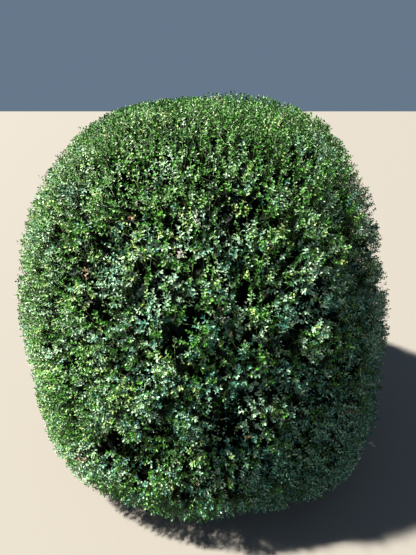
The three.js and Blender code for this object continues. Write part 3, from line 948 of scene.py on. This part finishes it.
def makeLimbs(number):
    # The neck, the mass's own stem, goes straight on from its bough's tip and carries arms, and they carry a
    # branch to each head. They end at hub + outward * (reach - hollow) * share, with the heading
    # outward + upturn * up.
    neck = limbShapes["neck"]
    root, heading, tip, _ = limbLines[number]
    path = limbPath(root, heading, tip, neck["boughRings"])
    ending = unit(path[0, -1] - path[0, -2])
    neckLine = (tip + np.linspace(0, 1, neck["rings"])[:, None] * ending * neck["length"])[None]
    bearing, polar = placesOnMass(number, mass["arms"] * massCount / tableArea[-1])
    outward = direction(bearing, polar)
    reach = crownReach(bearing, polar) - hollowDepth(bearing, polar)
    ends = hub + outward * reach[:, None] * mass["armShare"]
    arms = growFrom(neckLine, ends, unit(outward + mass["upturn"] * up), limbShapes["arms"]["rings"])
    own = heads["owner"] == number
    bearing, polar = heads["bearing"][own], heads["polar"][own]
    outward = direction(bearing, polar)
    reach = np.linalg.norm(heads["centre"][own] - hub, axis=1) - hollowDepth(bearing, polar)
    ends = hub + outward * reach[:, None] * mass["branchShare"]
    branches = growFrom(arms, ends, unit(outward + mass["upturn"] * up), limbShapes["branches"]["rings"])
    if number < len(sectors):
        branches = np.concatenate([branches, makeLowBranches(number, arms)])
    return neckLine, arms, branches


def makeSprays(number):
    # Each spray ends under the clipped surface, and leans with its head:
    # facing + upward turn * up + roughness * the head's lean + wander
    bearing, polar = placesOnMass(number, mass["spraysPerSquareMetre"])
    count = len(bearing)
    outward = direction(bearing, polar)
    reach = crownReach(bearing, polar)
    depth, own = foliageDepth(hub + outward * reach[:, None], bearing, polar)
    facing = direction(bearing, np.interp(polar, tablePolars, tableFacing))
    rough = roughness(bearing, polar)[:, None]
    least = spray["upwardLeast"]
    upward = spray["upwardTurn"] * (least + (1 - least) * random.random((count, 1))) * rough
    wander = random.normal(0, spray["wander"] / 2, (count, 3))
    line = unit(facing + upward * up + rough * heads["lean"][own] + wander)
    length = spray["length"] + spray["lengthSpread"] * (random.random(count) - 0.5)
    root = hub + outward * (reach - depth)[:, None] - line * length[:, None]
    return bearing, polar, line, length, root


def makeShoots(bearing, polar, line, length, root):
    # Shoots fan out from the spray's line: cos a * line + sin a * sideways + upturn * up, with a = fan times
    # the root of the shoot's share of the count. The shears have cut them where they meet the surface.
    count, shoots = len(bearing), spray["shoots"]
    order = np.arange(shoots)
    turn = np.radians(mass["goldenAngle"]) * order + 2 * np.pi * random.random((count, 1))
    lean = np.radians(spray["fan"]) * np.sqrt(order / (shoots - 1))
    lean = lean * random.uniform(*spray["fanRange"], (count, shoots))
    aside = unit(np.cross(line, random.normal(size=(count, 3))))
    beside = np.cross(line, aside)
    sideways = np.cos(turn)[..., None] * aside[:, None] + np.sin(turn)[..., None] * beside[:, None]
    heading = np.cos(lean)[..., None] * line[:, None] + np.sin(lean)[..., None] * sideways
    heading = unit(heading + spray["shootUpturn"] * up)
    start = spray["shootsWithin"] * random.random((count, shoots)) * length[:, None]
    foot = root[:, None] + line[:, None] * start[..., None]
    heading, foot = heading.reshape(-1, 3), foot.reshape(-1, 3)
    # the lowest shoots run out along the ground
    lowest = spray["clearance"] + spray["clearanceScatter"] * random.random(len(foot))
    foot[:, 2] = np.maximum(foot[:, 2], lowest)
    heading[:, 2] = np.maximum(heading[:, 2], (spray["clearance"] - foot[:, 2]) / spray["groundRun"])
    heading = unit(heading)
    rough = np.repeat(roughness(bearing, polar), shoots)
    uneven = spray["unevenTop"] + (spray["unevenSide"] - spray["unevenTop"]) * rough
    uneven = uneven * random.random(len(foot)) ** spray["unevenPower"]
    stray = (random.random(len(foot)) < spray["strayShare"]) * random.random(len(foot)) * spray["strayLength"]
    # each round moves the cut by its distance from the surface over the slope
    shortest, longest = spray["shootLimit"]
    cut = np.full(len(foot), spray["firstCut"])
    for _ in range(spray["cutRounds"]):
        end = foot + heading * cut[:, None]
        endBearing, endPolar, distance = anglesOf(end)
        endPolar = np.minimum(endPolar, footPolar)
        depth, _ = foliageDepth(end, endBearing, endPolar)
        target = crownReach(endBearing, endPolar) - depth - uneven + spray["proud"] + stray
        slope = np.maximum(np.sum(heading * unit(end - hub), -1), spray["cutSlope"])
        cut = np.clip(cut + (target - distance) / slope, shortest, longest + stray)
    above = foot[:, 2] - spray["clearance"] + spray["clearanceMargin"]
    toGround = above / np.maximum(-heading[:, 2], 1e-3)
    return foot, heading, np.minimum(cut, toGround)


def makeLeaves(foot, heading, cut, shootTone, hollow):
    # Opposite pairs, each turned a quarter from the last, smaller and steeper towards the tip. Each heading:
    # cos a * axis + sin a * radial, with a = tilt + (tipTilt - tilt) * young.
    count, pairs = len(foot), leaf["pairs"]
    order = np.arange(pairs)
    young = np.exp(-order / leaf["youngPairs"])
    aside = unit(np.cross(heading, random.normal(size=(count, 3))))
    beside = np.cross(heading, aside)
    spacing = leaf["internode"] * order * random.uniform(*leaf["internodeRange"], (count, 1))
    station = cut[:, None] - leaf["tipInset"] - spacing
    wander = random.normal(0, leaf["turnWander"], (count, pairs, 2))
    turn = (order[:, None] * np.pi / 2 + np.array([0, np.pi]) + wander)[..., None]
    radial = np.cos(turn) * aside[:, None, None] + np.sin(turn) * beside[:, None, None]
    tilt = np.radians(leaf["tilt"] + (leaf["tipTilt"] - leaf["tilt"]) * young)[:, None]
    tilt = (tilt + random.normal(0, leaf["tiltWander"], (count, pairs, 2)))[..., None]
    axis = heading[:, None, None]
    line = unit(np.cos(tilt) * axis + np.sin(tilt) * radial)
    face = np.sin(tilt) * axis - np.cos(tilt) * radial + leaf["faceUp"] * up
    face = face + leaf["flutter"] * random.normal(size=face.shape)
    feet = np.broadcast_to(foot[:, None, None] + axis * station[..., None, None], line.shape)
    size = leaf["length"] * (1 - (1 - leaf["tipShare"]) * young)[:, None]
    size = size * (1 + leaf["lengthSpread"] * (random.random((count, pairs, 2)) - 0.5))
    bareShare = leaf["bareShare"] * np.clip(hollow / leaf["bareDepth"], 0, 1)
    bare = random.random((count, pairs, 2)) < bareShare[:, None, None]
    kept = station[..., None] > leaf["bareFoot"] * cut[:, None, None]
    kept = kept & ~bare & (feet[..., 2] > leaf["lowest"])
    step = random.integers(0, 2, kept.shape) * 2 - 1
    step[:, 0] = np.maximum(step[:, 0], 0)  # never darker at the tip
    step = np.where(random.random(kept.shape) < leaf["toneStep"], step, 0)
    shootTone = shootTone[:, None, None]
    tone = np.clip(shootTone + step, familyStart[shootTone], familyEnd[shootTone])
    older = np.broadcast_to(order[:, None] >= leaf["plainFrom"], kept.shape)
    return [(feet[chosen], line[chosen], face[chosen], size[chosen], tone[chosen])
            for chosen in (kept & ~older, kept & older)]


def woodTubes(limbs, rootRadius, shape):
    # tapering tubes along those limbs
    radii = taper(len(limbs), limbs.shape[1], rootRadius, shape["tipRadius"])
    return tubes(limbs, radii, shape["sides"])


def growMass(number):
    # one mass as three pieces: its leaves, its shade leaves further in, and its twigs
    name = "foliage_" + (sectors[number] if number < len(sectors) else "top")
    neckLine, arms, branches = makeLimbs(number)
    bearing, polar, line, length, root = makeSprays(number)
    stemEnds = root + line * (length * spray["shootsWithin"])[:, None]
    stems = growFrom(branches, stemEnds, line, limbShapes["stems"]["rings"])
    foot, heading, cut = makeShoots(bearing, polar, line, length, root)
    # each spray's tone, with the painted light and shade in it, by its place
    tone = np.repeat(dealTones(bearing, polar), spray["shoots"])
    ownTone = dealTones(np.repeat(bearing, spray["shoots"]), np.repeat(polar, spray["shoots"]))
    shootTone = np.where(random.random(len(foot)) < spray["toneShift"], ownTone, tone)
    shootTone[random.random(len(foot)) < spray["dryShare"]] = leafTones.index("dry")
    hollow = np.repeat(hollowDepth(bearing, polar), spray["shoots"])
    young, older = makeLeaves(foot, heading, cut, shootTone, hollow)
    points, faceSets = joined([
        blades(*young[:4], leafOutline, leafFaces),
        blades(*older[:4], plainOutline, plainFaces),
    ])
    points[:, 2] = np.maximum(points[:, 2], mass["lowestPoint"])
    tones = np.repeat(np.concatenate([young[4], older[4]]), 2)  # each blade has two faces
    triangles = addPiece(name + "_leaves", points, faceSets, leafMaterials, tones, False, [name])

    innerTwigs = np.concatenate([
        sideTwigs(branches, innerTwig["perBranch"]),
        sideTwigs(arms, innerTwig["perArm"]),
    ])
    limbs = {"stems": stems, "branches": branches, "arms": arms, "innerTwigs": innerTwigs}
    along = [leavesAlong(limbs[kind], olderLeaves[kind]) for kind in olderLeaves]
    feet, lines, faces, sizes = (np.concatenate(group) for group in zip(*along))
    above = feet[:, 2] > olderLeaf["lowest"]
    # near-black painted shade for the leaves inside
    choices = [leafTones.index(tone) for tone in shadeTones]
    tones = np.repeat(random.choice(choices, above.sum(), p=list(shadeTones.values())), 2)
    points, numbers = blades(feet[above], lines[above], faces[above], sizes[above], plainOutline, plainFaces)
    points[:, 2] = np.maximum(points[:, 2], mass["lowestPoint"])
    triangles += addPiece(name + "_shade_leaves", points, [numbers], leafMaterials, tones,
                          False, [name])

    # twigs: the mass's stem, arms, branches and spray stems are old wood, the shoots are green
    wood = [woodTubes(neckLine, limbTips[number], limbShapes["neck"])]
    for kind in ("arms", "branches", "stems"):
        wood.append(woodTubes(limbs[kind], limbShapes[kind]["rootRadius"], limbShapes[kind]))
    wood.append(spikes(innerTwigs[:, 0], innerTwigs[:, 1], limbShapes["innerTwigs"]["rootRadius"]))
    wood.append(spikes(foot, foot + heading * cut[:, None], limbShapes["shoots"]["rootRadius"]))
    points, faceSets = joined(wood)
    points[:, 2] = np.maximum(points[:, 2], mass["lowestPoint"])
    ages = np.repeat([0, 1], [sum(map(len, faceSets[:-1])), len(faceSets[-1])])
    triangles += addPiece(name + "_twigs", points, faceSets, twigMaterials, ages, True, [name])
    return triangles


for number in range(massCount):
    triangleCount += growMass(number)
print(f"masses made, {triangleCount} triangles in all")

# studio

studio = {
    "floor": {"colour": "#6f6c67", "roughness": 0.9, "reach": 40},  # metres from the middle to each side
    "sky": {"colour": "#a9c4e2", "strength": 0.34},
    "key": {
        "bearing": -88,
        "elevation": 54,
        "distance": 5,
        "spread": 3,  # degrees across the lamp
        "strength": 18.2,  # W/m2
        "colour": "#fff8ec",
    },
    "fill": {
        "place": (2.6, -3.2, 2.2),
        "size": 3.0,
        "power": 16,  # W
        "colour": "#dfe8ff",
    },
    "aimHeight": 0.75,  # metres, where both lamps point
}
crownMiddle = np.array([0, 0, studio["aimHeight"]])


def makeFloor(settings):
    # a level square round the axis
    reach = settings["reach"]
    corners = [(-reach, -reach, 0), (reach, -reach, 0), (reach, reach, 0), (-reach, reach, 0)]
    mesh = bpy.data.meshes.new("floor")
    mesh.from_pydata(corners, [], [(0, 1, 2, 3)])
    material, tree = newMaterial("matt_floor")
    surface = addNode(tree, "ShaderNodeBsdfPrincipled", {
        "Base Color": linear(settings["colour"]),
        "Roughness": settings["roughness"],
    })
    addNode(tree, "ShaderNodeOutputMaterial", {}, {"Surface": surface.outputs[0]})
    mesh.materials.append(material)
    floor = bpy.data.objects.new("floor", mesh)
    bpy.context.scene.collection.objects.link(floor)


def addLight(data, settings, place):
    # a light at that place, turned towards the middle of the crown
    data.color = linear(settings["colour"])[:3]
    light = bpy.data.objects.new(data.name, data)
    light.location = place
    light.rotation_euler = Vector(crownMiddle - np.array(place)).to_track_quat("-Z", "Y").to_euler()
    bpy.context.scene.collection.objects.link(light)


def makeKey(settings):
    # parallel light, which falls evenly from wherever the lamp stands
    data = bpy.data.lights.new("key", "SUN")
    data.energy = settings["strength"]
    data.angle = np.radians(settings["spread"])
    away = direction(settings["bearing"], 90 - settings["elevation"])
    addLight(data, settings, crownMiddle + settings["distance"] * away)


def makeFill(settings):
    # a wide soft disk in front, on the shaded side
    data = bpy.data.lights.new("fill", "AREA")
    data.shape = "DISK"
    data.size = settings["size"]
    data.energy = settings["power"]
    addLight(data, settings, settings["place"])


def makeSky(settings):
    # the same light from every side
    world = bpy.data.worlds.new("studio")
    world.use_nodes = True
    background = world.node_tree.nodes["Background"]
    background.inputs["Color"].default_value = linear(settings["colour"])
    background.inputs["Strength"].default_value = settings["strength"]
    bpy.context.scene.world = world


makeFloor(studio["floor"])
makeKey(studio["key"])
makeFill(studio["fill"])
makeSky(studio["sky"])
bpy.context.scene.view_settings.view_transform = "Standard"
print("studio made")
